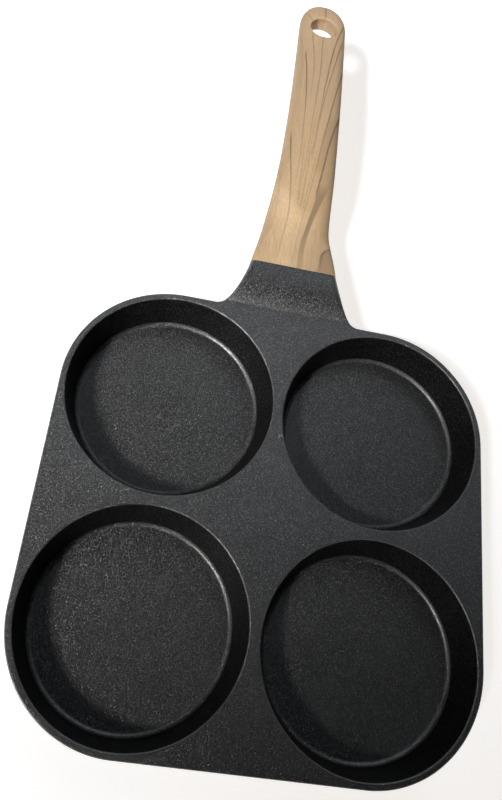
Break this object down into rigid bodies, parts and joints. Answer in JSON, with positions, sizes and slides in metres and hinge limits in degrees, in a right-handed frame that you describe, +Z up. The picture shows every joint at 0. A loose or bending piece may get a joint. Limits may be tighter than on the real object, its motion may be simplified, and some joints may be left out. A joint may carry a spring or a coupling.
{
  "type": "egg pan",
  "caption": "Square cast pan with round egg cups sunk in a flat deck, a flared neck and a wood-look handle with a hanging hole.",
  "frame": {"origin": "on the surface that the pan stands on, under the middle of the overall box", "axes": "+Y along the handle from the deck to its tip, +Z up, +X to the right with the handle pointing away"},
  "size_m": [0.1926, 0.3758, 0.0443],
  "materials": {
    "coated_aluminium": "dark charcoal non-stick coating with fine pale specks",
    "disc_steel": "turned ferritic steel",
    "wood_print": "satin phenolic moulding with a printed light wood grain",
    "screw_steel": "bright zinc-plated steel"
  },
  "bodies": {
    "root": {"pan_body": "coated_aluminium", "base_disc_front_left": "disc_steel", "base_disc_front_right": "disc_steel", "base_disc_rear_left": "disc_steel", "base_disc_rear_right": "disc_steel", "handle_grip": "wood_print", "handle_screw": "screw_steel", "screw_washer": "screw_steel"}
  },
  "joints": []
}
